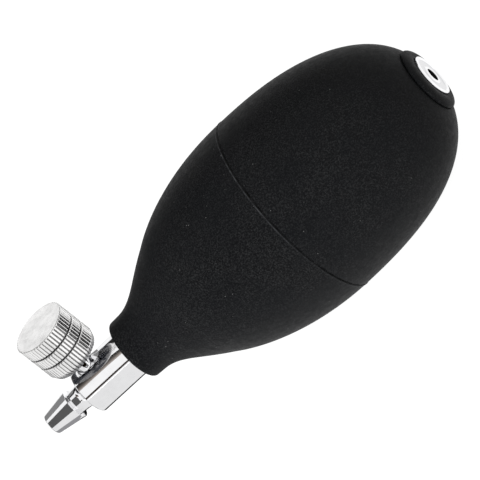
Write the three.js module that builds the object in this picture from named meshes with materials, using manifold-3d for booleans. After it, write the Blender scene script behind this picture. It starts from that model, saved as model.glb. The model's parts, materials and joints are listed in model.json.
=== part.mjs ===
// Hand inflation bulb with a screw-down air-release valve, in millimetres.
//
// +X runs along the bulb, from the tip of the hose barb to the face of the intake
// valve.  +Z points up through the thumbscrew.  The origin lies on the surface that
// the belly of the bulb rests on, under the middle of the object.
//
// Air enters at the intake valve, leaves the bulb through the outlet check valve
// in the neck, and reaches the hose barb along the gallery of the valve body.
// The thumbscrew lifts a soft pad off the orifice above that gallery, and the
// air then leaves by the bleed hole of the bonnet.
import * as THREE from 'three';
import { mergeVertices } from 'three/addons/utils/BufferGeometryUtils.js';
import Module from 'manifold-3d';

const wasm = await Module();
wasm.setup();

// ---- driving dimensions ----

const BULB_DIAMETER = 50;
const BULB_LENGTH = 97.2;
const NECK_DIAMETER = 16.1;
const WALL = 2.5;
const BODY_DIAMETER = 12;
const KNOB_DIAMETER = 14.4;
const KNOB_HEIGHT = 11.8;
const FLUTES = 50;

// Stations along the bulb's axis, measured from the tip of the hose barb.
const BARB_CONE_END = 7.7;
const BODY_START = 12.1;
const THUMBSCREW_STATION = 16.9;
const NECK_RIM = 26.8;
const SPIGOT_END = 38.5;
const TOTAL_LENGTH = NECK_RIM + BULB_LENGTH;

// Heights above the bulb's axis, for the parts that stand on the valve body.
const ORIFICE_FACE = 3.1;
const BONNET_TOP = 16.6;
const BLEED_HOLE_HEIGHT = 7;
const KNOB_UNDERSIDE = 9.1;
const KNOB_TOP = KNOB_UNDERSIDE + KNOB_HEIGHT;

// The screw rises by this much over its two turns.
const SCREW_LIFT = 1.4;
// Each check valve's disc lifts by this much from its seat.
const DISC_LIFT = 0.8;

// Clearances between pieces that are pressed or screwed together, and that slide.
const FIT = 0.08;
const SLIDE = 0.1;
// A closed valve's soft face stands this far from the lip that it seals on.
const SEAL_GAP = 0.05;

// Facets around the big, middle and small round pieces.
const BULB_FACETS = 40;
const ROUND_FACETS = 28;
const SMALL_FACETS = 20;
const SECTION_SIDES = 6;
const HOLE_SIDES = 8;

// ---- materials ----

function material(color, roughness, metalness) {
  return new THREE.MeshStandardMaterial({ color, roughness, metalness });
}

const blackRubber = () => material(0x1c1c1d, 0.62, 0);
const polishedChrome = () => material(0xe8eaec, 0.08, 1);
const satinChrome = () => material(0xe2e3e5, 0.28, 1);
const turnedBrass = () => material(0xb58d3c, 0.35, 1);
const steelMesh = () => material(0xa6a8aa, 0.4, 1);
const sealRubber = () => material(0x2c2724, 0.7, 0);
const paleSealRubber = () => material(0xb9a98c, 0.6, 0);
const redFibre = () => material(0x8c3b2a, 0.8, 0);

// ---- shape helpers ----

// Every outline below is a list of [radius, station] pairs.  It runs along the
// outside with the station rising, and back along the inside.
function latheAboutY(outline, facets) {
  const points = outline.map(([radius, station]) => new THREE.Vector2(radius, station));
  return new THREE.LatheGeometry(points, facets);
}

function ring(outline) {
  return [...outline, outline[0]];
}

function turnedAboutX(outline, facets = ROUND_FACETS) {
  return latheAboutY(outline, facets).rotateZ(-Math.PI / 2);
}

function turnedAboutZ(outline, facets = ROUND_FACETS) {
  return latheAboutY(outline, facets).rotateX(Math.PI / 2);
}

// A plain cylinder's outline, for cutting holes.
function rod(radius, from, to) {
  return [[0, from], [radius, from], [radius, to], [0, to]];
}

// A square-edged tube's outline.
function tube(inner, outer, from, to) {
  return ring([[inner, from], [outer, from], [outer, to], [inner, to]]);
}

// Triangles of the merged mesh, without those that a lathe leaves flat on its axis.
function solidTriangles(index) {
  const kept = [];
  for (let i = 0; i < index.length; i += 3) {
    const [a, b, c] = index.slice(i, i + 3);
    if (a !== b && b !== c && c !== a) kept.push(a, b, c);
  }
  return Uint32Array.from(kept);
}

function toSolid(geometry) {
  const bare = geometry.clone();
  bare.deleteAttribute('normal');
  bare.deleteAttribute('uv');
  const merged = mergeVertices(bare);
  const vertProperties = Float32Array.from(merged.attributes.position.array);
  const triVerts = solidTriangles(merged.index.array);
  return new wasm.Manifold(new wasm.Mesh({ numProp: 3, vertProperties, triVerts }));
}

function toGeometry(solid) {
  const mesh = solid.getMesh();
  const geometry = new THREE.BufferGeometry();
  geometry.setAttribute('position', new THREE.BufferAttribute(mesh.vertProperties, 3));
  geometry.setIndex(new THREE.BufferAttribute(mesh.triVerts, 1));
  geometry.computeVertexNormals();
  return geometry;
}

function cut(geometry, ...tools) {
  let solid = toSolid(geometry);
  for (const tool of tools) solid = solid.subtract(toSolid(tool));
  return toGeometry(solid);
}

function overlapOf(first, second) {
  return toGeometry(toSolid(first).intersect(toSolid(second)));
}

function named(name, geometry, surface) {
  const mesh = new THREE.Mesh(geometry, surface);
  mesh.name = name;
  return mesh;
}

// ---- bulb ----

// Both halves of the belly are super-ellipses about the parting line.
const PARTING_STATION = 52.5;
const RIDGE_HEIGHT = 0.12;
const RIDGE_HALF_WIDTH = 0.35;
const BELLY_RADIUS = BULB_DIAMETER / 2 - RIDGE_HEIGHT;
const FRONT_LENGTH = 44.4;
const FRONT_POWER = 2;
const REAR_LENGTH = 44;
const REAR_POWER = 2.4;
const NECK_BORE = BODY_DIAMETER / 2 + FIT;
const MOUTH_BORE = 4.75;
const FACE_RECESS = 5.55;
// The lip around the mouth stands lower than the face of the valve inside it.
const MOUTH_FACE = BULB_LENGTH - 0.5;
const MOUTH_FLOOR = BULB_LENGTH - 1.25;
const SLEEVE_END = BULB_LENGTH - 8.2;

// A point of the belly: angle 0 is on the parting line and 90 degrees on the axis.
function bellyPoint(angle, radius, length, power) {
  const bulge = 2 / power;
  const along = length * Math.sin(angle) ** bulge;
  return [radius * Math.cos(angle) ** bulge, PARTING_STATION + along];
}

function frontPoint(angle, inset) {
  const [radius, station] = bellyPoint(angle, BELLY_RADIUS - inset, FRONT_LENGTH - inset, FRONT_POWER);
  return [radius, 2 * PARTING_STATION - station];
}

function rearPoint(angle, inset) {
  return bellyPoint(angle, BELLY_RADIUS - inset, REAR_LENGTH - inset, REAR_POWER);
}

// Points at even angles between two angles, both ends included.
function sweep(pointAt, from, to, steps) {
  const points = [];
  for (let i = 0; i <= steps; i += 1) points.push(pointAt(from + ((to - from) * i) / steps));
  return points;
}

// The neck leaves the rim almost straight and flares into the belly.
function neckFlare(steps) {
  const neck = NECK_DIAMETER / 2;
  const curve = new THREE.CubicBezierCurve(
    new THREE.Vector2(3, neck + 0.12),
    new THREE.Vector2(8, neck + 0.35),
    new THREE.Vector2(11.2, 12),
    new THREE.Vector2(19.2, 16.46),
  );
  return curve.getPoints(steps).map((point) => [point.y, point.x]);
}

// A rounded ring around the mouth, slightly wider than the end of the belly.
function mouthLip(steps) {
  const lip = new THREE.CubicBezierCurve(
    new THREE.Vector2(MOUTH_FACE - 1.7, 8.1),
    new THREE.Vector2(MOUTH_FACE - 1.5, 9),
    new THREE.Vector2(MOUTH_FACE - 0.2, 8.4),
    new THREE.Vector2(MOUTH_FACE, 6.6),
  );
  return lip.getPoints(steps).map((point) => [point.y, point.x]);
}

function bulbShell() {
  const neck = NECK_DIAMETER / 2;
  const rimRound = 0.8;
  const outside = [
    [NECK_BORE + 0.4, 0],
    [neck - rimRound, 0],
    [neck - rimRound * 0.3, rimRound * 0.3],
    [neck, rimRound],
    ...neckFlare(5),
    ...sweep((angle) => frontPoint(angle, 0), 0.7, 0.1, 4),
    [BELLY_RADIUS, PARTING_STATION - RIDGE_HALF_WIDTH],
    [BELLY_RADIUS + RIDGE_HEIGHT, PARTING_STATION],
    [BELLY_RADIUS, PARTING_STATION + RIDGE_HALF_WIDTH],
    ...sweep((angle) => rearPoint(angle, 0), 0.16, 1.28, 7),
    ...mouthLip(3),
    [FACE_RECESS + 0.3, MOUTH_FACE],
    [FACE_RECESS, MOUTH_FACE - 0.3],
  ];
  const inside = [
    [FACE_RECESS, MOUTH_FLOOR],
    [MOUTH_BORE, MOUTH_FLOOR],
    [MOUTH_BORE, SLEEVE_END],
    [7, SLEEVE_END],
    ...sweep((angle) => rearPoint(angle, WALL), 1.3, 0.1, 5),
    ...sweep((angle) => frontPoint(angle, WALL), 0.1, 1.15, 5),
    [NECK_BORE, 12.6],
    [NECK_BORE, 0.3],
  ];
  const geometry = turnedAboutX(ring([...outside, ...inside]), BULB_FACETS);
  return named('bulb_shell', geometry, blackRubber());
}

// ---- check valves ----

const CAGE_THICKNESS = 1.6;
const SCREEN_THICKNESS = 0.4;

// A flat plate across the bore, extruded from one station along +X.
function plateAcross(shape, thickness, station) {
  const plate = new THREE.ExtrudeGeometry(shape, {
    depth: thickness,
    bevelEnabled: false,
    curveSegments: SMALL_FACETS / 4,
  });
  return plate.rotateY(Math.PI / 2).translate(station, 0, 0);
}

// A retainer with three windows: it stops the disc and lets the air past.
function valveCage(name, radius, station) {
  const shape = new THREE.Shape();
  shape.absarc(0, 0, radius, 0, Math.PI * 2);
  const windowInner = radius * 0.34;
  const windowOuter = radius * 0.8;
  const span = Math.PI / 2;
  for (let i = 0; i < 3; i += 1) {
    const start = (i * Math.PI * 2) / 3;
    const window = new THREE.Path();
    window.absarc(0, 0, windowOuter, start, start + span, false);
    window.absarc(0, 0, windowInner, start + span, start, true);
    window.closePath();
    shape.holes.push(window);
  }
  return named(name, plateAcross(shape, CAGE_THICKNESS, station), turnedBrass());
}

function polygonHole(x, y, radius) {
  const hole = new THREE.Path();
  for (let i = 0; i < HOLE_SIDES; i += 1) {
    const angle = (i * Math.PI * 2) / HOLE_SIDES;
    const corner = [x + radius * Math.cos(angle), y + radius * Math.sin(angle)];
    if (i === 0) hole.moveTo(...corner);
    else hole.lineTo(...corner);
  }
  hole.closePath();
  return hole;
}

// A fine screen, with its weave shown by a ring of holes around a middle one.
function filterScreen(name, radius, station) {
  const shape = new THREE.Shape();
  shape.absarc(0, 0, radius, 0, Math.PI * 2);
  const holeRadius = radius * 0.15;
  const circle = radius * 0.55;
  const centres = [[0, 0]];
  for (let i = 0; i < 6; i += 1) {
    const angle = (i * Math.PI) / 3;
    centres.push([circle * Math.cos(angle), circle * Math.sin(angle)]);
  }
  for (const [x, y] of centres) shape.holes.push(polygonHole(x, y, holeRadius));
  return named(name, plateAcross(shape, SCREEN_THICKNESS, station), steelMesh());
}

// A turned insert whose raised lip meets the disc on the low-station side.
function valveSeat(name, radius, bore, lipStation, backStation, groove) {
  const lipWidth = 0.6;
  const lipHeight = 0.5;
  const outside = [
    [bore, lipStation],
    [bore + lipWidth, lipStation],
    [bore + lipWidth, lipStation + lipHeight],
    [radius, lipStation + lipHeight],
    ...groove,
    [radius, backStation],
    [bore, backStation],
  ];
  return named(name, turnedAboutX(ring(outside), SMALL_FACETS), turnedBrass());
}

function valveDisc(name, radius, station, thickness) {
  const geometry = turnedAboutX(rod(radius, station, station + thickness), SMALL_FACETS);
  return named(name, geometry, paleSealRubber());
}

// ---- intake valve, in the end of the bulb ----

const FACE_RADIUS = 5.45;
const INTAKE_BORE = 3.5;
const INTAKE_INSERT = INTAKE_BORE - SLIDE;

// Three shallow ribs hold a spigot in its rubber sleeve.
function ribs(crest, root, from, pitch) {
  const points = [];
  for (let i = 0; i < 3; i += 1) {
    const start = from + i * pitch;
    points.push([root, start], [crest, start + pitch * 0.6], [crest, start + pitch * 0.9]);
  }
  return points;
}

function endValveHousing() {
  const face = TOTAL_LENGTH;
  const innerEnd = face - 11.1;
  const dish = 0.25;
  const hole = 1.65;
  const root = 4.3;
  const flangeBack = face - 1.1;
  const outside = [
    [INTAKE_BORE, innerEnd],
    [root, innerEnd],
    ...ribs(MOUTH_BORE - SLIDE, root, innerEnd + 3, 2),
    [root, flangeBack],
    [FACE_RADIUS, flangeBack],
    [FACE_RADIUS, face - 0.2],
    [FACE_RADIUS - 0.2, face],
    [4.7, face],
    [4.5, face - dish],
    [2.55, face - dish],
    [2.3, face],
    [hole + 0.15, face],
    [hole, face - 0.2],
  ];
  const inside = [
    [hole, face - 2],
    [INTAKE_BORE, face - 2],
  ];
  const geometry = turnedAboutX(ring([...outside, ...inside]));
  return named('end_valve_housing', geometry, polishedChrome());
}

function intakeValve() {
  const screenStation = TOTAL_LENGTH - 2.5;
  const seatBack = screenStation - SLIDE;
  const seatLip = seatBack - 2.7;
  const discThickness = 1.2;
  const discStation = seatLip - SEAL_GAP - discThickness;
  const cageStation = discStation - DISC_LIFT - SLIDE - CAGE_THICKNESS;
  const group = new THREE.Group();
  group.add(
    endValveHousing(),
    filterScreen('intake_filter_screen', INTAKE_INSERT, screenStation),
    valveSeat('intake_valve_seat', INTAKE_INSERT, 1.5, seatLip, seatBack, []),
    valveDisc('intake_valve_disc', 2.7, discStation, discThickness),
    valveCage('intake_valve_cage', INTAKE_INSERT, cageStation),
  );
  return group;
}

// ---- outlet check valve, in the neck of the bulb ----

const OUTLET_BORE = 4.4;
const OUTLET_INSERT = OUTLET_BORE - SLIDE;
const CHAMBER_START = 29.5;

function outletValve() {
  const cageStation = CHAMBER_START + SLIDE;
  const discStation = cageStation + CAGE_THICKNESS + SLIDE + DISC_LIFT;
  const discThickness = 1.2;
  const seatLip = discStation + discThickness + SEAL_GAP;
  const seatBack = seatLip + 2.7;
  const screenStation = seatBack + SLIDE;
  const snapStation = screenStation + SCREEN_THICKNESS + SLIDE;
  const grooveFrom = seatLip + 1.1;
  const grooveTo = grooveFrom + 0.9;
  const grooveRoot = 3.55;
  const groove = [
    [OUTLET_INSERT, grooveFrom],
    [grooveRoot, grooveFrom],
    [grooveRoot, grooveTo],
    [OUTLET_INSERT, grooveTo],
  ];
  const grooveMiddle = (grooveFrom + grooveTo) / 2;
  const snapBore = 3.4;
  const snapRing = turnedAboutX(tube(snapBore, OUTLET_INSERT, snapStation, snapStation + 1), SMALL_FACETS);
  const group = new THREE.Group();
  group.add(
    valveCage('outlet_valve_cage', OUTLET_INSERT, cageStation),
    valveDisc('outlet_valve_disc', 3.3, discStation, discThickness),
    valveSeat('outlet_valve_seat', OUTLET_INSERT, 1.6, seatLip, seatBack, groove),
    sealingRing('outlet_seat_o_ring', grooveRoot, OUTLET_BORE, grooveMiddle, turnedAboutX),
    filterScreen('outlet_filter_screen', OUTLET_INSERT, screenStation),
    named('outlet_filter_ring', snapRing, turnedBrass()),
  );
  return group;
}

// An O-ring in the gap between a groove's root and the bore around it.
function sealingRing(name, inner, outer, station, turn) {
  const half = (outer - inner) / 2 - SEAL_GAP;
  const middle = (outer + inner) / 2;
  const section = [];
  for (let i = 0; i < SECTION_SIDES; i += 1) {
    const angle = (i * Math.PI * 2) / SECTION_SIDES;
    section.push([middle + half * Math.cos(angle), station + half * Math.sin(angle)]);
  }
  return named(name, turn(ring(section), SMALL_FACETS), sealRubber());
}

// ---- valve body and hose barb ----

const GALLERY = 1.25;
const BARB_SOCKET = 2.48;
const BARB_SOCKET_END = 15.3;
const BONNET_RADIUS = 2.4;
const BONNET_SOCKET = BONNET_RADIUS + FIT;

function valveBody() {
  const radius = BODY_DIAMETER / 2;
  const chamfer = 0.35;
  const spigotRoot = 5.4;
  const outside = [
    [BARB_SOCKET, BODY_START],
    [radius - chamfer, BODY_START],
    [radius, BODY_START + chamfer],
    [radius, NECK_RIM + 1],
    ...ribs(radius, spigotRoot, NECK_RIM + 1.2, 3),
    [spigotRoot, NECK_RIM + 10.4],
    [spigotRoot, SPIGOT_END],
    [OUTLET_BORE, SPIGOT_END],
  ];
  const inside = [
    [OUTLET_BORE, CHAMBER_START],
    [GALLERY, CHAMBER_START],
    [GALLERY, BARB_SOCKET_END],
    [BARB_SOCKET, BARB_SOCKET_END],
  ];
  const blank = turnedAboutX(ring([...outside, ...inside]));
  const orifice = 0.6;
  const bonnetHole = turnedAboutZ([
    [0, 0],
    [orifice, 0],
    [orifice, ORIFICE_FACE],
    [BONNET_SOCKET, ORIFICE_FACE],
    [BONNET_SOCKET, radius + 1],
    [0, radius + 1],
  ], SMALL_FACETS).translate(THUMBSCREW_STATION, 0, 0);
  return named('valve_body', cut(blank, bonnetHole), polishedChrome());
}

function hoseBarb() {
  const tip = 2.75;
  const shoulder = 3.95;
  const neck = 2.82;
  const outside = [
    [GALLERY + 0.35, 0],
    [tip - 0.3, 0],
    [tip, 0.3],
    [shoulder, BARB_CONE_END - 0.15],
    [shoulder - 0.1, BARB_CONE_END],
    [neck, BARB_CONE_END],
    [neck, BODY_START - FIT],
    [BARB_SOCKET - FIT, BODY_START - FIT],
    [BARB_SOCKET - FIT, BARB_SOCKET_END - FIT],
    [GALLERY, BARB_SOCKET_END - FIT],
    [GALLERY, 0.35],
  ];
  return named('hose_barb', turnedAboutX(ring(outside)), polishedChrome());
}

// ---- release valve, turned about the thumbscrew's own axis ----

const STEM_RADIUS = 1.42;
const THREAD_BORE = STEM_RADIUS + FIT;
const BONNET_BORE = 1.75;
const THREAD_START = 12;
const GASKET_THICKNESS = 0.45;
const PAD_TOP = 4.3;
const PAD_RADIUS = 1.15;

function stemBonnet() {
  const foot = ORIFICE_FACE + FIT + GASKET_THICKNESS + FIT;
  const blank = turnedAboutZ(ring([
    [BONNET_BORE, foot],
    [BONNET_RADIUS, foot],
    [BONNET_RADIUS, BONNET_TOP - 0.3],
    [BONNET_RADIUS - 0.3, BONNET_TOP],
    [THREAD_BORE, BONNET_TOP],
    [THREAD_BORE, THREAD_START],
    [BONNET_BORE, THREAD_START],
  ]), SMALL_FACETS);
  const bleedRadius = 0.6;
  const bleedTurn = Math.PI / 12;
  const drill = turnedAboutZ(rod(bleedRadius, 0, BONNET_RADIUS + 1), SMALL_FACETS / 2);
  drill.rotateX(Math.PI / 2).rotateZ(bleedTurn).translate(0, 0, BLEED_HOLE_HEIGHT);
  return named('stem_bonnet', cut(blank, drill), polishedChrome());
}

function bonnetGasket() {
  const from = ORIFICE_FACE + FIT;
  const outline = tube(1.5, BONNET_RADIUS, from, from + GASKET_THICKNESS);
  return named('bonnet_gasket', turnedAboutZ(outline, SMALL_FACETS), redFibre());
}

// The pad doesn't turn with the screw: it swivels on the pin at the screw's tip.
const PIN_RADIUS = 0.4;
const PIN_END = 3.75;

function releaseSealPad() {
  const outline = [
    [0, ORIFICE_FACE + SEAL_GAP],
    [PAD_RADIUS, ORIFICE_FACE + SEAL_GAP],
    [PAD_RADIUS, PAD_TOP],
    [PIN_RADIUS + SLIDE, PAD_TOP],
    [PIN_RADIUS + SLIDE, PIN_END - SLIDE],
    [0, PIN_END - SLIDE],
  ];
  return named('release_seal_pad', turnedAboutZ(outline, SMALL_FACETS), paleSealRubber());
}

// The shoulder under the thread stops the screw from leaving the bonnet.
const SHOULDER_RADIUS = 1.65;
const SHOULDER_TOP = THREAD_START - SCREW_LIFT - SEAL_GAP;
const SHOULDER_FOOT = SHOULDER_TOP - 1.65;
const SHOULDER_COLLAR = 0.5;
const SHOULDER_GROOVE = 1.2;
const KNOB_ROOF = 17.2;
const STEM_TOP = 19.6;

function thumbscrewStem() {
  const tipRadius = 1.1;
  const outline = [
    [0, PIN_END],
    [PIN_RADIUS, PIN_END],
    [PIN_RADIUS, PAD_TOP + SEAL_GAP],
    [tipRadius, PAD_TOP + SEAL_GAP],
    [tipRadius, SHOULDER_FOOT],
    [SHOULDER_RADIUS, SHOULDER_FOOT],
    [SHOULDER_RADIUS, SHOULDER_FOOT + SHOULDER_COLLAR],
    [SHOULDER_GROOVE, SHOULDER_FOOT + SHOULDER_COLLAR],
    [SHOULDER_GROOVE, SHOULDER_TOP - SHOULDER_COLLAR],
    [SHOULDER_RADIUS, SHOULDER_TOP - SHOULDER_COLLAR],
    [SHOULDER_RADIUS, SHOULDER_TOP],
    [STEM_RADIUS, SHOULDER_TOP],
    [STEM_RADIUS, STEM_TOP],
    [0, STEM_TOP],
  ];
  return named('thumbscrew_stem', turnedAboutZ(outline, SMALL_FACETS), turnedBrass());
}

function stemSealingRing() {
  const height = (SHOULDER_TOP + SHOULDER_FOOT) / 2;
  return sealingRing('stem_o_ring', SHOULDER_GROOVE, BONNET_BORE, height, turnedAboutZ);
}

// The knob's rim: flat lands between narrow V-shaped flutes.
function flutedRim() {
  const crest = KNOB_DIAMETER / 2;
  const fluteDepth = 0.35;
  const pitch = (Math.PI * 2) / FLUTES;
  const halfLand = pitch * 0.28;
  const rim = new THREE.Shape();
  for (let i = 0; i < FLUTES; i += 1) {
    const middle = i * pitch;
    const corners = [
      [crest, middle - halfLand],
      [crest, middle + halfLand],
      [crest - fluteDepth, middle + pitch / 2],
    ];
    for (const [radius, angle] of corners) {
      const x = radius * Math.cos(angle);
      const y = radius * Math.sin(angle);
      if (i === 0 && angle < 0) rim.moveTo(x, y);
      else rim.lineTo(x, y);
    }
  }
  rim.closePath();
  return rim;
}

// The knob is one turned cap: two grooves part its fluted rim into three bands.
function thumbscrewKnob() {
  const rim = KNOB_DIAMETER / 2 + SLIDE;
  const recess = BONNET_RADIUS + 0.3;
  const grooveDepth = 0.65;
  const grooveHalf = 0.3;
  const lowerTaper = 0.9;
  const lowerTaperHeight = 1.7;
  const topChamfer = 0.4;
  const grooveOutline = (share) => {
    const height = KNOB_UNDERSIDE + KNOB_HEIGHT * share;
    return [
      [rim, height - grooveHalf],
      [rim - grooveDepth, height],
      [rim, height + grooveHalf],
    ];
  };
  const envelope = turnedAboutZ(ring([
    [recess, KNOB_UNDERSIDE],
    [rim - lowerTaper, KNOB_UNDERSIDE],
    [rim, KNOB_UNDERSIDE + lowerTaperHeight],
    ...grooveOutline(0.42),
    ...grooveOutline(0.69),
    [rim, KNOB_TOP - topChamfer],
    [rim - topChamfer, KNOB_TOP],
    [0, KNOB_TOP],
    [0, STEM_TOP + SLIDE],
    [THREAD_BORE, STEM_TOP + SLIDE],
    [THREAD_BORE, KNOB_ROOF],
    [recess, KNOB_ROOF],
  ]), FLUTES);
  const overshoot = 1;
  const prism = new THREE.ExtrudeGeometry(flutedRim(), {
    depth: KNOB_HEIGHT + 2 * overshoot,
    bevelEnabled: false,
  });
  prism.translate(0, 0, KNOB_UNDERSIDE - overshoot);
  return named('thumbscrew_knob', overlapOf(prism, envelope), satinChrome());
}

function releaseValve() {
  const group = new THREE.Group();
  group.position.x = THUMBSCREW_STATION;
  group.add(
    bonnetGasket(),
    stemBonnet(),
    releaseSealPad(),
    thumbscrewStem(),
    stemSealingRing(),
    thumbscrewKnob(),
  );
  return group;
}

// ---- assembly ----

const object = new THREE.Group();
object.position.set(-TOTAL_LENGTH / 2, 0, BULB_DIAMETER / 2);

const bulb = new THREE.Group();
bulb.position.x = NECK_RIM;
bulb.add(bulbShell());

object.add(bulb, intakeValve(), outletValve(), valveBody(), hoseBarb(), releaseValve());

const root = new THREE.Group();
root.add(object);

export default root;
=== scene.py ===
"""Looks of the hand inflation bulb: fine meshes, materials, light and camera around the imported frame.

Outlines are lists of (radius, station) in millimetres. Stations run along the axis of the piece,
from an anchor that comes from the frame. Everything that reaches Blender is in metres.
"""
import json
import math

import bmesh
import bpy
from mathutils import Matrix, Vector, noise


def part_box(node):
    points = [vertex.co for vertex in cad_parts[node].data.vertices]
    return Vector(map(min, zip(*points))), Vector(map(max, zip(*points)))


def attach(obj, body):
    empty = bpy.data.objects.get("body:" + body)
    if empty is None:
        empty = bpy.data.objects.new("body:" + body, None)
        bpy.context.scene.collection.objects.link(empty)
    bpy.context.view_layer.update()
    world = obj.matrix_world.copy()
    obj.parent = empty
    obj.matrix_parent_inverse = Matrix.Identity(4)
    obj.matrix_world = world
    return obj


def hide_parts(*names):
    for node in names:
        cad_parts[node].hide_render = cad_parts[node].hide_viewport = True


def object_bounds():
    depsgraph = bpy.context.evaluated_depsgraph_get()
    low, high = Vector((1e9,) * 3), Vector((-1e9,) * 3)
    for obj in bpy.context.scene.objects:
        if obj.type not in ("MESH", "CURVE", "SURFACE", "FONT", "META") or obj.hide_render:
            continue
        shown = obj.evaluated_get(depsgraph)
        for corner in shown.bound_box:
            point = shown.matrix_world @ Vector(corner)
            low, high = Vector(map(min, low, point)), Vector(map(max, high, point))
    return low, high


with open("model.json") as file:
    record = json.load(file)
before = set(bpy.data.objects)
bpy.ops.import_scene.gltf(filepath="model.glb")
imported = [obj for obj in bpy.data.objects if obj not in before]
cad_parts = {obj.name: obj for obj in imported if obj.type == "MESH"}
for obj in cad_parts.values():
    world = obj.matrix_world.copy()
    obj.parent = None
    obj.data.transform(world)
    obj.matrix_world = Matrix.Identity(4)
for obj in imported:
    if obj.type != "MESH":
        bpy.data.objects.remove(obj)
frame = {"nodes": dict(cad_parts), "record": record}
cad_box = [list(corner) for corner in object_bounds()]

MM = 0.001
ALONG_X = (Vector((1, 0, 0)), Vector((0, 1, 0)), Vector((0, 0, 1)))
ALONG_Z = (Vector((0, 0, 1)), Vector((1, 0, 0)), Vector((0, 1, 0)))


# ---- places, from the frame ----

def low(node):
    return Vector(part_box(node)[0])


def high(node):
    return Vector(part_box(node)[1])


def middle(node):
    return (low(node) + high(node)) / 2


AXIS_HEIGHT = middle("bulb_shell").z


def on_axis(x):
    """The point of the bulb's long axis at this x, in metres."""
    return Vector((x, 0, AXIS_HEIGHT))


NECK_RIM = on_axis(low("bulb_shell").x)
BARB_TIP = on_axis(low("hose_barb").x)
BODY_START = on_axis(low("valve_body").x)
VALVE_FACE = on_axis(high("end_valve_housing").x)
SCREW_AXIS = on_axis(middle("thumbscrew_knob").x)

BULB_LENGTH = (high("bulb_shell").x - low("bulb_shell").x) / MM
KNOB_RADIUS = (high("thumbscrew_knob").x - low("thumbscrew_knob").x) / 2 / MM
KNOB_UNDERSIDE = (low("thumbscrew_knob").z - AXIS_HEIGHT) / MM
KNOB_TOP = (high("thumbscrew_knob").z - AXIS_HEIGHT) / MM
BONNET_FOOT = (low("stem_bonnet").z - AXIS_HEIGHT) / MM
BONNET_TOP = (high("stem_bonnet").z - AXIS_HEIGHT) / MM
BONNET_RADIUS = (high("stem_bonnet").x - low("stem_bonnet").x) / 2 / MM
BODY_RADIUS = (high("valve_body").y - low("valve_body").y) / 2 / MM
BODY_LENGTH = (high("valve_body").x - low("valve_body").x) / MM
BARB_LENGTH = (high("hose_barb").x - low("hose_barb").x) / MM
HOUSING_LENGTH = (high("end_valve_housing").x - low("end_valve_housing").x) / MM


# ---- mesh helpers ----

def rounded(corners, steps=6):
    """Turns the (radius, station, fillet) corners of a closed outline into arcs."""
    points = []
    for i, (radius, station, fillet) in enumerate(corners):
        here = Vector((radius, station))
        if fillet == 0:
            points.append((radius, station))
            continue
        before = (Vector(corners[i - 1][:2]) - here).normalized()
        after = (Vector(corners[(i + 1) % len(corners)][:2]) - here).normalized()
        half = before.angle(after) / 2
        centre = here + (before + after).normalized() * fillet / math.sin(half)
        reach = fillet / math.tan(half)
        start = here + before * reach - centre
        turn = start.angle_signed(here + after * reach - centre)
        for k in range(steps + 1):
            spoke = start.copy()
            spoke.rotate(Matrix.Rotation(-turn * k / steps, 2))
            points.append(tuple(centre + spoke))
    return points


def new_object(name, bm):
    """Turns a finished bmesh into a smooth-shaded object of the scene."""
    bmesh.ops.recalc_face_normals(bm, faces=bm.faces)
    mesh = bpy.data.meshes.new(name)
    bm.to_mesh(mesh)
    bm.free()
    mesh.shade_smooth()
    obj = bpy.data.objects.new(name, mesh)
    bpy.context.collection.objects.link(obj)
    return obj


def turned(name, outline, anchor, frame_axes, columns=192, shape=None):
    """Revolves a closed outline about the axis through anchor.

    An outline that starts and ends on the axis is closed by its poles. shape, if given, turns
    (radius, station, angle) into the radius there.
    """
    along, across, up = frame_axes
    bm = bmesh.new()
    rows = []
    for radius, station in outline:
        row = []
        for i in range(columns if radius > 0 else 1):
            angle = math.tau * i / columns
            r = shape(radius, station, angle) if shape else radius
            spoke = across * math.cos(angle) + up * math.sin(angle)
            row.append(bm.verts.new(anchor + (along * station + spoke * r) * MM))
        rows.append(row)
    solid = len(rows[0]) == 1 and len(rows[-1]) == 1
    pairs = list(zip(rows, rows[1:]))
    if not solid:
        pairs.append((rows[-1], rows[0]))
    for first, second in pairs:
        for i in range(columns):
            j = (i + 1) % columns
            if len(first) == 1:
                bm.faces.new((first[0], second[i], second[j]))
            elif len(second) == 1:
                bm.faces.new((first[i], first[j], second[0]))
            else:
                bm.faces.new((first[i], first[j], second[j], second[i]))
    return new_object(name, bm)


def crisp(obj):
    """Flat faces keep their own shading next to small rounded edges."""
    modifier = obj.modifiers.new("weighted normals", "WEIGHTED_NORMAL")
    modifier.mode = "FACE_AREA"
    modifier.weight = 100


def drilled(obj, tool):
    """Cuts the tool out of the object and deletes the tool."""
    modifier = obj.modifiers.new("hole", "BOOLEAN")
    modifier.operation = "DIFFERENCE"
    modifier.solver = "EXACT"
    modifier.object = tool
    graph = bpy.context.evaluated_depsgraph_get()
    cut = bpy.data.meshes.new_from_object(obj.evaluated_get(graph))
    obj.modifiers.remove(modifier)
    obj.data = cut
    bpy.data.objects.remove(tool)
    obj.data.set_sharp_from_angle(angle=math.radians(30))


def bezier(corners, steps):
    """Points of a cubic curve given by its four (station, radius) corners, as (radius, station)."""
    points = []
    for k in range(steps + 1):
        t = k / steps
        weights = ((1 - t) ** 3, 3 * t * (1 - t) ** 2, 3 * t * t * (1 - t), t ** 3)
        station = sum(w * c[0] for w, c in zip(weights, corners))
        radius = sum(w * c[1] for w, c in zip(weights, corners))
        points.append((radius, station))
    return points


# ---- bulb ----

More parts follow.
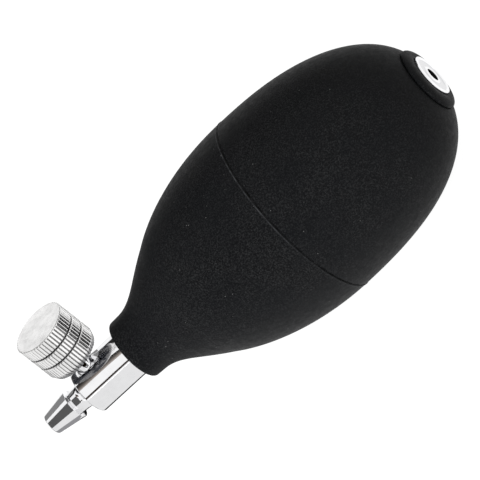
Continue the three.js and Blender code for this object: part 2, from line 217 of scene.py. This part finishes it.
PARTING = 52.5
RIDGE_HEIGHT = 0.12
BELLY_RADIUS = (high("bulb_shell").y - low("bulb_shell").y) / 2 / MM - RIDGE_HEIGHT
FRONT_LENGTH = 44.4
REAR_LENGTH = 44.0
NECK_RADIUS = 8.05
NECK_BORE = BODY_RADIUS + 0.05
WALL = 2.5
TRIMMED_SIDE = math.radians(140)
MOUTH_BORE = 4.75
FACE_RECESS = 5.52
FRONT_POWER = 2.0
REAR_POWER = 2.4
SKIN_SWELL = 0.07
SKIN_MARGIN = 3
SKIN_FADE = 8
RIDGE_REACH = 0.65


def belly(angle, inset, rear):
    """A point of the belly: angle 0 is on the parting line and 90 degrees on the axis."""
    length, power = (REAR_LENGTH, REAR_POWER) if rear else (FRONT_LENGTH, FRONT_POWER)
    bulge = 2 / power
    along = (length - inset) * math.sin(angle) ** bulge
    radius = (BELLY_RADIUS - inset) * math.cos(angle) ** bulge
    return (radius, PARTING + along if rear else PARTING - along)


def sweep(point_at, start, stop, steps):
    """Points of a curve at even steps from start to stop."""
    return [point_at(start + (stop - start) * k / steps) for k in range(steps + 1)]


def parting_ridge():
    """The flash line of the mould: a low rib in front of a fine step."""
    return [
        (BELLY_RADIUS, PARTING - 0.5),
        (BELLY_RADIUS + 0.02, PARTING - 0.3),
        (BELLY_RADIUS + RIDGE_HEIGHT * 0.75, PARTING - 0.14),
        (BELLY_RADIUS + RIDGE_HEIGHT, PARTING - 0.02),
        (BELLY_RADIUS + RIDGE_HEIGHT * 0.8, PARTING + 0.06),
        (BELLY_RADIUS - 0.28, PARTING + 0.16),
        (BELLY_RADIUS - 0.34, PARTING + 0.24),
        (BELLY_RADIUS - 0.26, PARTING + 0.32),
        (BELLY_RADIUS - 0.02, PARTING + 0.46),
        (BELLY_RADIUS, PARTING + 0.6),
    ]


def bulb_outline():
    """The neck's rim, its flare, the belly and the rolled lip, then the inside back to the neck."""
    mouth = BULB_LENGTH
    outside = rounded([
        (NECK_BORE, 1.2, 0),
        (NECK_BORE, 0, 0.35),
        (NECK_RADIUS, 0, 0.8),
        (NECK_RADIUS + 0.1, 2.4, 0),
    ])
    outside += bezier([(3, NECK_RADIUS + 0.12), (8, NECK_RADIUS + 0.35), (11.2, 12), (19.2, 16.46)], 26)
    outside += sweep(lambda angle: belly(angle, 0, False), 0.83, 0.02, 48)
    outside += parting_ridge()
    outside += sweep(lambda angle: belly(angle, 0, True), 0.022, 1.3, 48)
    floor = (VALVE_FACE.x - NECK_RIM.x) / MM - 1.2
    sleeve_end = floor - 7
    outside += bezier([(mouth - 1.7, 8.1), (mouth - 1.5, 9), (mouth - 0.2, 8.4), (mouth, 6.6)], 16)
    outside += rounded([
        (6.5, mouth, 0),
        (FACE_RECESS, mouth, 0.25),
        (FACE_RECESS, floor, 0),
        (MOUTH_BORE, floor, 0.1),
        (MOUTH_BORE, sleeve_end, 0.3),
        (7.0, sleeve_end, 0.3),
        (7.2, floor - 4.1, 0),
    ])
    inside = sweep(lambda angle: belly(angle, WALL, True), 1.28, 0.05, 24)
    inside += sweep(lambda angle: belly(angle, WALL, False), 0.05, 1.15, 24)
    inside += [(NECK_BORE + 0.4, 12.6), (NECK_BORE, 12.2)]
    return outside + inside


def moulded(radius, station, angle):
    """Slow unevenness of the moulded skin, and a flash line that comes and goes."""
    outer = radius > NECK_RADIUS - 0.9
    from_neck = min(max((station - SKIN_MARGIN) / SKIN_FADE, 0), 1)
    from_mouth = min(max((BULB_LENGTH - SKIN_MARGIN - station) / SKIN_FADE, 0), 1)
    fade = from_neck * from_mouth
    if not outer or fade == 0:
        return radius
    spot = Vector((station * 0.05, math.cos(angle) * 1.1, math.sin(angle) * 1.1))
    uneven = SKIN_SWELL * fade * (noise.noise(spot) - 0.3)
    if abs(station - PARTING) < RIDGE_REACH:
        radius = BELLY_RADIUS + (radius - BELLY_RADIUS) * flash(angle)
    return radius + uneven


def flash(angle):
    """How strongly the flash line stands out: it was trimmed closer along one side."""
    rag = noise.noise(Vector((math.cos(angle) * 14, math.sin(angle) * 14, 4)))
    share = 0.3 + 0.7 * math.sin(angle - TRIMMED_SIDE) ** 2 + 0.5 * rag
    return min(max(share, 0.05), 1)


def bulb():
    shell = turned("rubber_bulb", bulb_outline(), NECK_RIM, ALONG_X, 320, moulded)
    finish_piece(shell, "root", "bulb_shell", bulb_rubber())


# ---- chromed pieces of the valve ----

NECK_DRAFT = 0.45
SEAM = 0.03


def hose_barb():
    """One tapered barb on a neck that widens by NECK_DRAFT towards the valve body."""
    bore, tip, shoulder, neck, root = 1.25, 2.75, 3.95, 2.82, 2.4
    cone = 7.7
    neck_end = (BODY_START.x - BARB_TIP.x) / MM
    outline = rounded([
        (bore, 0, 0.3),
        (tip - 0.05, 0, 0.35),
        (shoulder, cone, 0.12),
        (neck, cone, 0.12),
        (neck + NECK_DRAFT * 0.08, cone + 0.3, 0),
        (neck + NECK_DRAFT * 0.5, (cone + neck_end) / 2, 0),
        (neck + NECK_DRAFT, neck_end - SEAM, 0),
        (root, neck_end - SEAM, 0),
        (root, BARB_LENGTH, 0.15),
        (bore, BARB_LENGTH, 0.1),
    ])
    barb = turned("chrome_hose_barb", outline, BARB_TIP, ALONG_X)
    crisp(barb)
    finish_piece(barb, "root", "hose_barb", polished_chrome())


def ribs(crest, root, start, pitch, count):
    """Corners of a row of ribs that grip a bore, each rising slowly and falling steeply."""
    corners = []
    for i in range(count):
        foot = start + i * pitch
        corners += [(root, foot, 0.1), (crest, foot + pitch * 0.6, 0.08), (crest, foot + pitch * 0.9, 0.08)]
    return corners


def valve_body():
    gallery, socket, socket_end, chamber = 1.25, 2.48, 3.2, 4.4
    visible = (NECK_RIM.x - BODY_START.x) / MM
    spigot_root = 5.4
    chamber_start = 17.4
    outline = rounded([
        (socket, 0, 0),
        (BODY_RADIUS, 0, 0.3),
        (BODY_RADIUS, 5, 0),
        (BODY_RADIUS, 10, 0),
        (BODY_RADIUS, visible + 1, 0),
        *ribs(BODY_RADIUS, spigot_root, visible + 1.2, pitch=3, count=3),
        (spigot_root, visible + 10.4, 0.1),
        (spigot_root, BODY_LENGTH, 0.2),
        (chamber, BODY_LENGTH, 0.15),
        (chamber, chamber_start, 0.1),
        (gallery, chamber_start, 0.1),
        (gallery, socket_end, 0),
        (socket, socket_end, 0),
    ])
    body = turned("chrome_valve_body", outline, BODY_START, ALONG_X, 256)
    orifice, wide = 0.6, BONNET_RADIUS + 0.04
    floor, above = BONNET_FOOT - 0.6, BODY_RADIUS + 1
    bonnet_hole = turned("bonnet_hole", [
        (0, 0), (orifice, 0), (orifice, floor), (wide, floor), (wide, above), (0, above),
    ], SCREW_AXIS, ALONG_Z, 96)
    drilled(body, bonnet_hole)
    crisp(body)
    finish_piece(body, "root", "valve_body", polished_chrome())


def stem_bonnet():
    bore, thread_bore, thread_start = 1.75, 1.5, 12.0
    outline = rounded([
        (bore, BONNET_FOOT, 0),
        (BONNET_RADIUS, BONNET_FOOT, 0.1),
        (BONNET_RADIUS, BONNET_TOP, 0.3),
        (thread_bore, BONNET_TOP, 0.1),
        (thread_bore, thread_start, 0),
        (bore, thread_start, 0),
    ])
    bonnet = turned("chrome_stem_bonnet", outline, SCREW_AXIS, ALONG_Z)
    hole_height, hole_radius, hole_turn = 7.0, 0.6, math.radians(15)
    drill = turned("bleed_drill", [(0, 0), (hole_radius, 0), (hole_radius, 4), (0, 4)],
                   Vector((0, 0, 0)), ALONG_Z, 48)
    drill.data.transform(Matrix.Rotation(math.radians(90), 4, "X"))
    drill.data.transform(Matrix.Rotation(hole_turn, 4, "Z"))
    drill.data.transform(Matrix.Translation(SCREW_AXIS + Vector((0, 0, hole_height * MM))))
    drilled(bonnet, drill)
    crisp(bonnet)
    # Painted shade inside the bonnet: its bore and the bleed hole go near black.
    material = plate_with_painted_bore_shade(ALONG_Z[0], SCREW_AXIS, BONNET_RADIUS - 0.14)
    finish_piece(bonnet, "root", "stem_bonnet", material)


# ---- knob ----

FLUTES = 50
FLUTE_DEPTH = 0.42
FLUTE_HALF_WIDTH = 0.22
TAPER = 0.8
TAPER_HEIGHT = 1.7
COLUMNS_PER_FLUTE = 16
GROOVE_SHARES = (0.42, 0.69)
KNOB_BLANK = KNOB_RADIUS + 0.02
RIM_DEPTH = 1.3
LAND_CROWN = 0.03


def fluted(radius, station, angle):
    """Cuts narrow flutes into the knob's rim and its lower taper, with wide rounded lands between."""
    if radius < KNOB_RADIUS - RIM_DEPTH:
        return radius
    across = (angle * FLUTES / math.tau + 0.5) % 1
    from_flute = min(across, 1 - across)
    cut = FLUTE_DEPTH * max(0, 1 - from_flute / FLUTE_HALF_WIDTH)
    crown = LAND_CROWN * ((across - 0.5) * 2) ** 2
    up_the_taper = min(1, (station - KNOB_UNDERSIDE) / TAPER_HEIGHT)
    return min(radius, KNOB_RADIUS - TAPER * (1 - up_the_taper) - cut - crown)


def knob_groove(share):
    """A narrow turned groove with a round floor, at this share of the height above the underside."""
    half, half_floor, depth = 0.28, 0.1, 0.75
    station = KNOB_UNDERSIDE + (KNOB_TOP - KNOB_UNDERSIDE) * share
    return [
        (KNOB_BLANK, station - half, 0),
        (KNOB_BLANK - depth, station - half_floor, 0.08),
        (KNOB_BLANK - depth, station + half_floor, 0.08),
        (KNOB_BLANK, station + half, 0),
    ]


def refined(outline, spacing):
    """Adds points so that no straight run of the outline's outer wall is longer than the spacing."""
    points = []
    for (r0, s0), (r1, s1) in zip(outline, outline[1:]):
        steps = 1
        if min(r0, r1) > 5:
            steps = max(1, round(math.dist((r0, s0), (r1, s1)) / spacing))
        points += [(r0 + (r1 - r0) * k / steps, s0 + (s1 - s0) * k / steps) for k in range(steps)]
    return points + [outline[-1]]


def thumbscrew_knob():
    recess, roof, bore, bore_end = BONNET_RADIUS + 0.3, 17.2, 1.5, 19.7
    outline = rounded([
        (0, KNOB_TOP, 0),
        (2, KNOB_TOP, 0),
        (5.2, KNOB_TOP, 0),
        (KNOB_BLANK, KNOB_TOP, 0.25),
        *reversed(knob_groove(GROOVE_SHARES[1])),
        *reversed(knob_groove(GROOVE_SHARES[0])),
        (KNOB_BLANK, KNOB_UNDERSIDE + TAPER_HEIGHT, 0.2),
        (KNOB_BLANK - TAPER, KNOB_UNDERSIDE, 0.15),
        (recess, KNOB_UNDERSIDE, 0.2),
        (recess, roof, 0),
        (bore, roof, 0),
        (bore, bore_end, 0),
        (0, bore_end, 0),
    ], 5)
    knob = turned("satin_thumbscrew_knob", refined(outline, 0.25), SCREW_AXIS, ALONG_Z,
                  FLUTES * COLUMNS_PER_FLUTE, fluted)
    crisp(knob)
    finish_piece(knob, "thumbscrew", "thumbscrew_knob", satin_chrome())


# ---- intake end ----

def end_valve_housing():
    face, bore, hole, root = 0, 3.5, 1.65, 4.3
    inner_end = -HOUSING_LENGTH
    flange_back, dish_floor, bore_start = face - 1.1, face - 0.28, face - 2
    flange = FACE_RECESS - 0.07
    outline = rounded([
        (bore, inner_end, 0.1),
        (root, inner_end, 0.15),
        *ribs(MOUTH_BORE - 0.08, root, inner_end + 3, pitch=2, count=3),
        (root, inner_end + 9.5, 0),
        (root, flange_back, 0),
        (flange, flange_back, 0.1),
        (flange, face, 0.22),
        (4.72, face, 0.12),
        (4.5, dish_floor, 0.15),
        (2.6, dish_floor, 0.15),
        (2.35, face, 0.14),
        (hole, face, 0.2),
        (hole, bore_start, 0),
        (bore, bore_start, 0.1),
    ])
    housing = turned("chrome_end_valve_housing", outline, VALVE_FACE, ALONG_X)
    crisp(housing)
    # Painted shade in the intake hole, and a darker grey painted in the dish around it.
    material = plate_with_painted_bore_shade(ALONG_X[0], VALVE_FACE, hole, (2.45, 4.6))
    finish_piece(housing, "root", "end_valve_housing", material)


# ---- materials ----

class Nodes:
    """A short way to write a material's nodes."""

    def __init__(self, name):
        self.material = bpy.data.materials.new(name)
        self.material.use_nodes = True
        self.tree = self.material.node_tree
        self.shader = self.tree.nodes["Principled BSDF"]
        self.place = self.tree.nodes.new("ShaderNodeTexCoord").outputs["Object"]

    def link(self, start, end):
        self.tree.links.new(start, end)

    def noise(self, size_mm, detail, roughness=0.6):
        """Noise whose spots are about this many millimetres wide."""
        node = self.tree.nodes.new("ShaderNodeTexNoise")
        node.inputs["Scale"].default_value = 1 / (size_mm * MM)
        node.inputs["Detail"].default_value = detail
        node.inputs["Roughness"].default_value = roughness
        self.link(self.place, node.inputs["Vector"])
        return node.outputs["Fac"]

    def cells(self, size_mm):
        """Distance to the nearest of points spread about this many millimetres apart."""
        node = self.tree.nodes.new("ShaderNodeTexVoronoi")
        node.inputs["Scale"].default_value = 1 / (size_mm * MM)
        self.link(self.place, node.inputs["Vector"])
        return node.outputs["Distance"]

    def ramp(self, value, start, stop, low_value, high_value):
        """Maps a value between start and stop onto another range."""
        node = self.tree.nodes.new("ShaderNodeMapRange")
        node.inputs["From Min"].default_value = start
        node.inputs["From Max"].default_value = stop
        node.inputs["To Min"].default_value = low_value
        node.inputs["To Max"].default_value = high_value
        self.link(value, node.inputs["Value"])
        return node.outputs["Result"]

    def mix(self, factor, first, second):
        node = self.tree.nodes.new("ShaderNodeMix")
        node.data_type = "RGBA"
        self.link(factor, node.inputs["Factor"])
        for socket, colour in ((node.inputs["A"], first), (node.inputs["B"], second)):
            if isinstance(colour, tuple):
                socket.default_value = (*colour, 1)
            else:
                self.link(colour, socket)
        return node.outputs["Result"]

    def math(self, operation, first, second):
        node = self.tree.nodes.new("ShaderNodeMath")
        node.operation = operation
        for socket, value in zip(node.inputs, (first, second)):
            if isinstance(value, (int, float)):
                socket.default_value = value
            else:
                self.link(value, socket)
        return node.outputs["Value"]

    def coordinate(self, axis):
        """One coordinate of the point being shaded, in metres."""
        split = self.tree.nodes.new("ShaderNodeSeparateXYZ")
        self.link(self.place, split.inputs["Vector"])
        return split.outputs[axis]

    def from_axis(self, along, anchor):
        """Distance in millimetres from the axis of a turned piece."""
        offset = self.tree.nodes.new("ShaderNodeVectorMath")
        offset.operation = "SUBTRACT"
        self.link(self.place, offset.inputs[0])
        offset.inputs[1].default_value = anchor
        across = self.tree.nodes.new("ShaderNodeVectorMath")
        across.operation = "CROSS_PRODUCT"
        self.link(offset.outputs["Vector"], across.inputs[0])
        across.inputs[1].default_value = along
        size = self.tree.nodes.new("ShaderNodeVectorMath")
        size.operation = "LENGTH"
        self.link(across.outputs["Vector"], size.inputs[0])
        return self.math("MULTIPLY", size.outputs["Value"], 1 / MM)

    def bump(self, height, depth_mm, strength, below=None):
        node = self.tree.nodes.new("ShaderNodeBump")
        node.inputs["Distance"].default_value = depth_mm * MM
        node.inputs["Strength"].default_value = strength
        self.link(height, node.inputs["Height"])
        if below:
            self.link(below, node.inputs["Normal"])
        return node.outputs["Normal"]


def parting_band(n, station, half_width, share):
    """A mask for painted shade and painted highlight beside the parting line: it fades down the side, so
    that it is strongest on top, and is broken up along its length.
    """
    line = NECK_RIM + Vector((PARTING + station, 0, 0)) * MM
    offset = n.math("SUBTRACT", n.coordinate("X"), line.x)
    inside = n.ramp(n.math("ABSOLUTE", offset, 0), half_width * MM, half_width * MM / 2, 0, share)
    upper = n.ramp(n.coordinate("Z"), AXIS_HEIGHT - 4 * MM, AXIS_HEIGHT + 16 * MM, 0.1, 1)
    broken = n.ramp(n.noise(1.6, 3), 0.4, 0.58, 0.25, 1)
    return n.math("MULTIPLY", inside, n.math("MULTIPLY", upper, broken))


def bulb_rubber():
    """Dull black moulded rubber: a mottled grain, painted shade in the groove of the parting line, a
    painted highlight along its rib, and specks of dust.
    """
    n = Nodes("dull black rubber")
    mottle = n.noise(1.4, 4, 0.65)
    grain = n.noise(0.36, 3, 0.75)
    broad = n.noise(14, 2)
    speck = n.ramp(n.cells(1.5), 0.07, 0.03, 0, 1)
    chosen = n.ramp(n.noise(3.1, 1), 0.56, 0.62, 0, 1)
    dust = n.math("MULTIPLY", speck, chosen)
    base = n.mix(n.ramp(grain, 0.46, 0.68, 0, 1), (0.0006, 0.0006, 0.0008), (0.0103, 0.0106, 0.0109))
    base = n.mix(n.ramp(mottle, 0.3, 0.7, 0, 0.4), base, (0.0022, 0.0024, 0.0026))
    base = n.mix(n.ramp(broad, 0.35, 0.65, 0, 0.5), base, (0.0012, 0.0014, 0.0018))
    # Painted shade: the groove behind the parting line's rib is darkened almost to black, most strongly on
    # top.
    base = n.mix(parting_band(n, 0.24, 0.36, 0.95), base, (0.0001, 0.0001, 0.0001))
    # Painted highlight: a lighter streak along the rib of the parting line, most strongly on top.
    base = n.mix(parting_band(n, -0.16, 0.2, 0.38), base, (0.03, 0.031, 0.033))
    base = n.mix(n.math("MULTIPLY", dust, 0.7), base, (0.12, 0.12, 0.115))
    n.link(base, n.shader.inputs["Base Color"])
    n.link(n.ramp(mottle, 0.3, 0.7, 0.5, 0.66), n.shader.inputs["Roughness"])
    n.shader.inputs["Specular IOR Level"].default_value = 0.09
    n.link(n.bump(grain, 0.03, 0.8, n.bump(mottle, 0.03, 0.5)), n.shader.inputs["Normal"])
    return n.material


CHROME_TINT = (0.93, 0.93, 0.94)
POLISH = (0.035, 0.1, 0.35, 0.0008)
SATIN_TINT = (0.93, 0.925, 0.92)
SATIN = (0.14, 0.22, 0.12, 0.002)


def chrome(name, tint, smooth, worn, grain_mm, depth_mm):
    """Chromium plate: faint buffing marks, small pits and a few dull fingerprints."""
    n = Nodes(name)
    haze = n.noise(2.6, 3, 0.6)
    marks = n.noise(grain_mm, 5, 0.75)
    pits = n.ramp(n.cells(0.9), 0.1, 0.04, 0, 1)
    colour = n.mix(n.ramp(haze, 0.35, 0.7, 0, 1), tint, tuple(c * 0.94 for c in tint))
    n.link(colour, n.shader.inputs["Base Color"])
    n.shader.inputs["Metallic"].default_value = 1
    n.link(n.ramp(haze, 0.35, 0.7, smooth, worn), n.shader.inputs["Roughness"])
    fine = n.bump(marks, depth_mm, 0.5)
    n.link(n.bump(pits, -0.004, 0.2, fine), n.shader.inputs["Normal"])
    return n, colour


def polished_chrome():
    n, _ = chrome("polished chrome", CHROME_TINT, *POLISH)
    return n.material


def plate_with_painted_bore_shade(along, anchor, bore, dish=None):
    """Polished chrome with painted shade in a bore: past the bore's mouth the colour goes near black and
    the metal dull. A dish between two radii is painted a darker grey, also painted shade.
    """
    n, colour = chrome("polished chrome, painted bore shade", CHROME_TINT, *POLISH)
    distance = n.from_axis(along, anchor)
    # Painted shade: within the bore's radius the colour is near black and barely metallic.
    inside = n.ramp(distance, bore + 0.1, bore + 0.02, 0, 1)
    if dish:
        inner, outer = dish
        # Painted shade: the dish is made a darker grey to stand in for the darker reflection it shows.
        past_inner = n.ramp(distance, inner, inner + 0.1, 0, 1)
        dish_shade = n.math("MULTIPLY", past_inner, n.ramp(distance, outer, outer - 0.1, 0, 1))
        colour = n.mix(dish_shade, colour, (0.7, 0.7, 0.71))
    n.link(n.mix(inside, colour, (0.01, 0.01, 0.01)), n.shader.inputs["Base Color"])
    n.link(n.ramp(inside, 0, 1, 1, 0.2), n.shader.inputs["Metallic"])
    return n.material


def satin_chrome():
    """The knob's plate, with painted shade at the bottom of the flutes and grooves and on its underside."""
    n, colour = chrome("satin chrome", SATIN_TINT, *SATIN)
    # Painted shade: the bottoms of the flutes and grooves go near black, except on the top face.
    flute = n.ramp(n.from_axis(ALONG_Z[0], SCREW_AXIS), KNOB_RADIUS - 0.14, KNOB_RADIUS - 0.36, 0, 0.7)
    top = AXIS_HEIGHT + KNOB_TOP * MM
    below_top = n.ramp(n.coordinate("Z"), top - 0.15 * MM, top - 0.4 * MM, 0, 1)
    flute_shade = n.math("MULTIPLY", flute, below_top)
    # Painted shade under the knob: its underside and lowest fraction of a millimetre go dark, broken up by
    # noise.
    underside = AXIS_HEIGHT + KNOB_UNDERSIDE * MM
    below = n.ramp(n.coordinate("Z"), underside + 0.3 * MM, underside + 0.1 * MM, 0, 1)
    underside_shade = n.math("MULTIPLY", below, n.ramp(n.noise(3.4, 3, 0.7), 0.44, 0.54, 0.3, 1))
    plated = n.mix(flute_shade, colour, (0.05, 0.05, 0.055))
    n.link(n.mix(underside_shade, plated, (0.06, 0.063, 0.072)), n.shader.inputs["Base Color"])
    return n.material


def turned_brass():
    n = Nodes("turned brass")
    marks = n.noise(0.4, 4, 0.7)
    n.link(n.mix(marks, (0.17, 0.115, 0.045), (0.32, 0.23, 0.1)), n.shader.inputs["Base Color"])
    n.shader.inputs["Metallic"].default_value = 1
    n.link(n.ramp(marks, 0.3, 0.7, 0.3, 0.5), n.shader.inputs["Roughness"])
    n.link(n.bump(marks, 0.004, 0.6), n.shader.inputs["Normal"])
    return n.material


def steel_mesh():
    n = Nodes("steel mesh")
    marks = n.noise(0.2, 3)
    n.link(n.mix(marks, (0.32, 0.33, 0.34), (0.55, 0.56, 0.57)), n.shader.inputs["Base Color"])
    n.shader.inputs["Metallic"].default_value = 1
    n.link(n.ramp(marks, 0.3, 0.7, 0.3, 0.5), n.shader.inputs["Roughness"])
    n.link(n.bump(marks, 0.01, 0.6), n.shader.inputs["Normal"])
    return n.material


def soft_seal(name, dark, light):
    """A dull washer or seal, mottled between a dark and a light colour."""
    n = Nodes(name)
    marks = n.noise(0.5, 4, 0.7)
    n.link(n.mix(marks, dark, light), n.shader.inputs["Base Color"])
    n.link(n.ramp(marks, 0.3, 0.7, 0.6, 0.8), n.shader.inputs["Roughness"])
    n.link(n.bump(marks, 0.01, 0.6), n.shader.inputs["Normal"])
    return n.material


def finish_piece(obj, body, node, material):
    """Gives the piece its material, attaches it to its body and hides the CAD node that it replaces."""
    obj.data.materials.clear()
    obj.data.materials.append(material)
    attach(obj, body)
    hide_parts(node)


INNER_FINISH = {
    "turned_brass": turned_brass(),
    "steel_mesh": steel_mesh(),
    "seal_rubber": soft_seal("black seal rubber", (0.012, 0.011, 0.01), (0.03, 0.028, 0.025)),
    "pale_seal_rubber": soft_seal("pale seal rubber", (0.36, 0.29, 0.18), (0.5, 0.42, 0.29)),
    "red_fibre": soft_seal("red fibre", (0.2, 0.035, 0.02), (0.32, 0.07, 0.04)),
}


def finish_inner_nodes():
    """The pieces inside the valves keep their CAD shape and get a finished material."""
    for part in frame["record"]["subparts"]:
        if part["material_slot"] in INNER_FINISH:
            for slot in frame["nodes"][part["node"]].material_slots:
                slot.material = INNER_FINISH[part["material_slot"]]


# ---- stage, light and camera ----

VIEW_AZIMUTH = math.radians(18.8)
VIEW_ELEVATION = math.radians(26.0)
VIEW_ROLL = math.radians(51.1)
PIXELS_PER_MM = 4.36
IMAGE_WIDTH = 480
CAMERA_DISTANCE = 1.3
AIM_LEVEL = 2.1
AIM_UPRIGHT = 1.7
TABLE_SIZE = 12
LIGHT_AZIMUTH = math.radians(-28)
LIGHT_ELEVATION = math.radians(11)
LIGHT_DISTANCE = 1.4
END_CARD_DISTANCE = 0.3


def towards(azimuth, elevation):
    """The direction from the object to a place at this azimuth and elevation."""
    flat = math.cos(elevation)
    return Vector((math.sin(azimuth) * flat, -math.cos(azimuth) * flat, math.sin(elevation)))


BOX_CENTRE = (Vector(cad_box[0]) + Vector(cad_box[1])) / 2


def camera():
    """A long lens, rolled about its own line of sight."""
    back = towards(VIEW_AZIMUTH, VIEW_ELEVATION)
    level = Vector((math.cos(VIEW_AZIMUTH), math.sin(VIEW_AZIMUTH), 0))
    upright = back.cross(level)
    right = level * math.cos(VIEW_ROLL) - upright * math.sin(VIEW_ROLL)
    up = level * math.sin(VIEW_ROLL) + upright * math.cos(VIEW_ROLL)
    aim = BOX_CENTRE + (level * AIM_LEVEL + upright * AIM_UPRIGHT) * MM
    data = bpy.data.cameras.new("camera")
    data.sensor_width = 36
    data.lens = PIXELS_PER_MM * CAMERA_DISTANCE / MM * data.sensor_width / IMAGE_WIDTH
    data.clip_start, data.clip_end = 0.05, 20
    obj = bpy.data.objects.new("camera", data)
    turn = Matrix((right, up, back)).transposed().to_4x4()
    obj.matrix_world = Matrix.Translation(aim + back * CAMERA_DISTANCE) @ turn
    bpy.context.collection.objects.link(obj)
    bpy.context.scene.camera = obj


def plane(name, centre, across, up, width, height, material):
    """A rectangle that belongs to the stage."""
    bm = bmesh.new()
    side = across * (width / 2)
    rise = up * (height / 2)
    corners = (-side - rise, side - rise, side + rise, -side + rise)
    bm.faces.new([bm.verts.new(centre + corner) for corner in corners])
    mesh = bpy.data.meshes.new(name)
    bm.to_mesh(mesh)
    bm.free()
    obj = bpy.data.objects.new(name, mesh)
    obj.data.materials.append(material)
    bpy.context.collection.objects.link(obj)
    return obj


def lit_table():
    """A pale acrylic table, lit faintly from within, so that shadows on it stay soft and light."""
    n = Nodes("pale lit table")
    n.link(n.mix(n.noise(60, 2), (0.11, 0.11, 0.11), (0.13, 0.13, 0.13)), n.shader.inputs["Base Color"])
    n.shader.inputs["Roughness"].default_value = 0.8
    n.shader.inputs["Specular IOR Level"].default_value = 0.1
    n.shader.inputs["Emission Color"].default_value = (1, 1, 1, 1)
    n.shader.inputs["Emission Strength"].default_value = 0.92
    return n.material


def card(name, centre, across, up, width, height, shade):
    """A plain card of this shade that is seen in reflections only."""
    n = Nodes(name)
    n.shader.inputs["Base Color"].default_value = (0, 0, 0, 1)
    n.shader.inputs["Specular IOR Level"].default_value = 0
    n.shader.inputs["Emission Color"].default_value = (*shade, 1)
    n.shader.inputs["Emission Strength"].default_value = 1
    obj = plane(name, centre, across, up, width, height, n.material)
    obj.visible_camera = False
    obj.visible_diffuse = False
    obj.visible_shadow = False
    obj.visible_transmission = False


def flag(name, direction, width, height, shade, distance=0.5):
    """A card that faces the valve from this direction."""
    back = direction.normalized()
    across = Vector((0, 0, 1)).cross(back).normalized()
    card(name, BODY_START + back * distance, across, back.cross(across), width, height, shade)


def in_front(height_angle):
    """Direction in which the barrel reflects the room at this angle above the table's far side."""
    angle = math.radians(height_angle)
    along, aside = -0.285, 0.959
    return Vector((along, -aside * math.cos(angle), aside * math.sin(angle)))


def floor_card(name, x, y, shade, height=0.6):
    """A card that lies on the table between two stations in x and two in y, in millimetres."""
    centre = Vector((sum(x) / 2, sum(y) / 2, height)) * MM
    card(name, centre, ALONG_X[0], ALONG_X[1], (x[1] - x[0]) * MM, (y[1] - y[0]) * MM, shade)


def end_card(name, y, z, shade):
    """An upright card beyond the barb's tip, between two stations in y and two in z, in millimetres."""
    centre = on_axis(BODY_START.x - END_CARD_DISTANCE) + Vector((0, sum(y) / 2, sum(z) / 2)) * MM
    card(name, centre, ALONG_X[1], ALONG_X[2], (y[1] - y[0]) * MM, (z[1] - z[0]) * MM, shade)


def valve_cards():
    """The cards and flags that give the chromed valve its dark and grey bands."""
    valve_end = NECK_RIM.x / MM
    body_end = BODY_START.x / MM - 17
    floor_card("table sheen", (-900, valve_end), (-900, 900), (0.84, 0.84, 0.84), 0.3)
    # Painted shade: a black strip on the table under the valve, seen only in reflections, that puts a dark
    # line on the body's lower edge.
    floor_card("table contact shade", (body_end, valve_end - 4), (6, 50), (0.01, 0.01, 0.01))
    floor_card("table shade", (-130, body_end), (-14, 30), (0.3, 0.3, 0.31))
    floor_card("table shade edge", (-130, body_end), (30, 60), (0.05, 0.05, 0.05))
    end_card("front end card", (-600, -140), (-30, 500), (0.1, 0.1, 0.1))
    end_card("back end card", (90, 600), (-20, 500), (0.24, 0.24, 0.24))
    flag("back flag", Vector((-0.2, 0.6, 0.75)), 1.1, 0.55, (0.02, 0.02, 0.02), 0.8)
    flag("horizon flag", in_front(8.5), 0.24, 0.07, (0.04, 0.03, 0.025))
    brown = Vector((1, 0.88, 0.8))
    for angle, shade in ((75, 0.02), (70, 0.05), (65, 0.11), (60, 0.2), (55, 0.36)):
        flag("overhead flag", in_front(angle), 0.24, 0.045, tuple(brown * shade))


def low_soft_light():
    """A square soft light, low in front of the bulb on the valve's side. Reflections don't show it."""
    direction = towards(LIGHT_AZIMUTH, LIGHT_ELEVATION)
    data = bpy.data.lights.new("low soft light", "AREA")
    data.size = 0.5
    data.energy = 65
    light = bpy.data.objects.new("low soft light", data)
    light.visible_glossy = False
    light.location = BOX_CENTRE + direction * LIGHT_DISTANCE
    light.rotation_euler = direction.to_track_quat("Z", "Y").to_euler()
    bpy.context.scene.collection.objects.link(light)


def studio():
    world = bpy.data.worlds.new("studio")
    world.use_nodes = True
    world.node_tree.nodes["Background"].inputs["Color"].default_value = (1, 1, 1, 1)
    world.node_tree.nodes["Background"].inputs["Strength"].default_value = 1.0
    bpy.context.scene.world = world
    plane("table", Vector((0, 0, 0)), ALONG_X[0], ALONG_X[1], TABLE_SIZE, TABLE_SIZE, lit_table())
    valve_cards()
    low_soft_light()
    bpy.context.scene.view_settings.view_transform = "Standard"
    bpy.context.scene.cycles.glossy_bounces = 12


bulb()
hose_barb()
valve_body()
stem_bonnet()
thumbscrew_knob()
end_valve_housing()
finish_inner_nodes()
studio()
camera()
